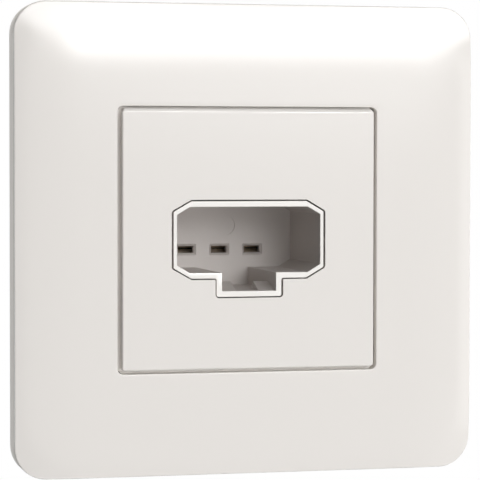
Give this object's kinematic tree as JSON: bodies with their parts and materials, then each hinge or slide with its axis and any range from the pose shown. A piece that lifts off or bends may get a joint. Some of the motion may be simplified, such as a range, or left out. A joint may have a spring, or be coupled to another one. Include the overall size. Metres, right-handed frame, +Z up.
{
  "type": "lighting connection outlet",
  "caption": "Flush square wall outlet for connecting a light: cover with rolled border, square insert and T-shaped well with flat-pin slots, on a steel yoke with push-in terminals behind.",
  "frame": {"origin": "middle of the wall plane, at the centre of the box screw pattern", "axes": "+X right, +Y into the wall, +Z up; the front faces -Y"},
  "size_m": [0.082, 0.0344, 0.082],
  "materials": {
    "white_cover": "satin gloss",
    "white_carrier": "satin",
    "white_insert": "satin gloss",
    "bright_white": "satin",
    "grey_housing": "matt",
    "zinc_steel": "zinc plated",
    "contact_brass": "bare",
    "spring_steel": "bare",
    "screw_steel": "zinc plated"
  },
  "bodies": {
    "root": {"cover_plate": "white_cover", "plate_carrier": "white_carrier", "insert_plate": "white_insert", "socket_housing": "bright_white", "terminal_housing": "grey_housing", "mounting_yoke": "zinc_steel", "contact_line": "contact_brass", "contact_earth": "contact_brass", "contact_neutral": "contact_brass", "housing_screw_left": "screw_steel", "housing_screw_right": "screw_steel", "clamp_spring_line_1": "spring_steel", "clamp_spring_line_2": "spring_steel", "clamp_spring_earth_1": "spring_steel", "clamp_spring_earth_2": "spring_steel", "clamp_spring_neutral_1": "spring_steel", "clamp_spring_neutral_2": "spring_steel"}
  },
  "joints": []
}
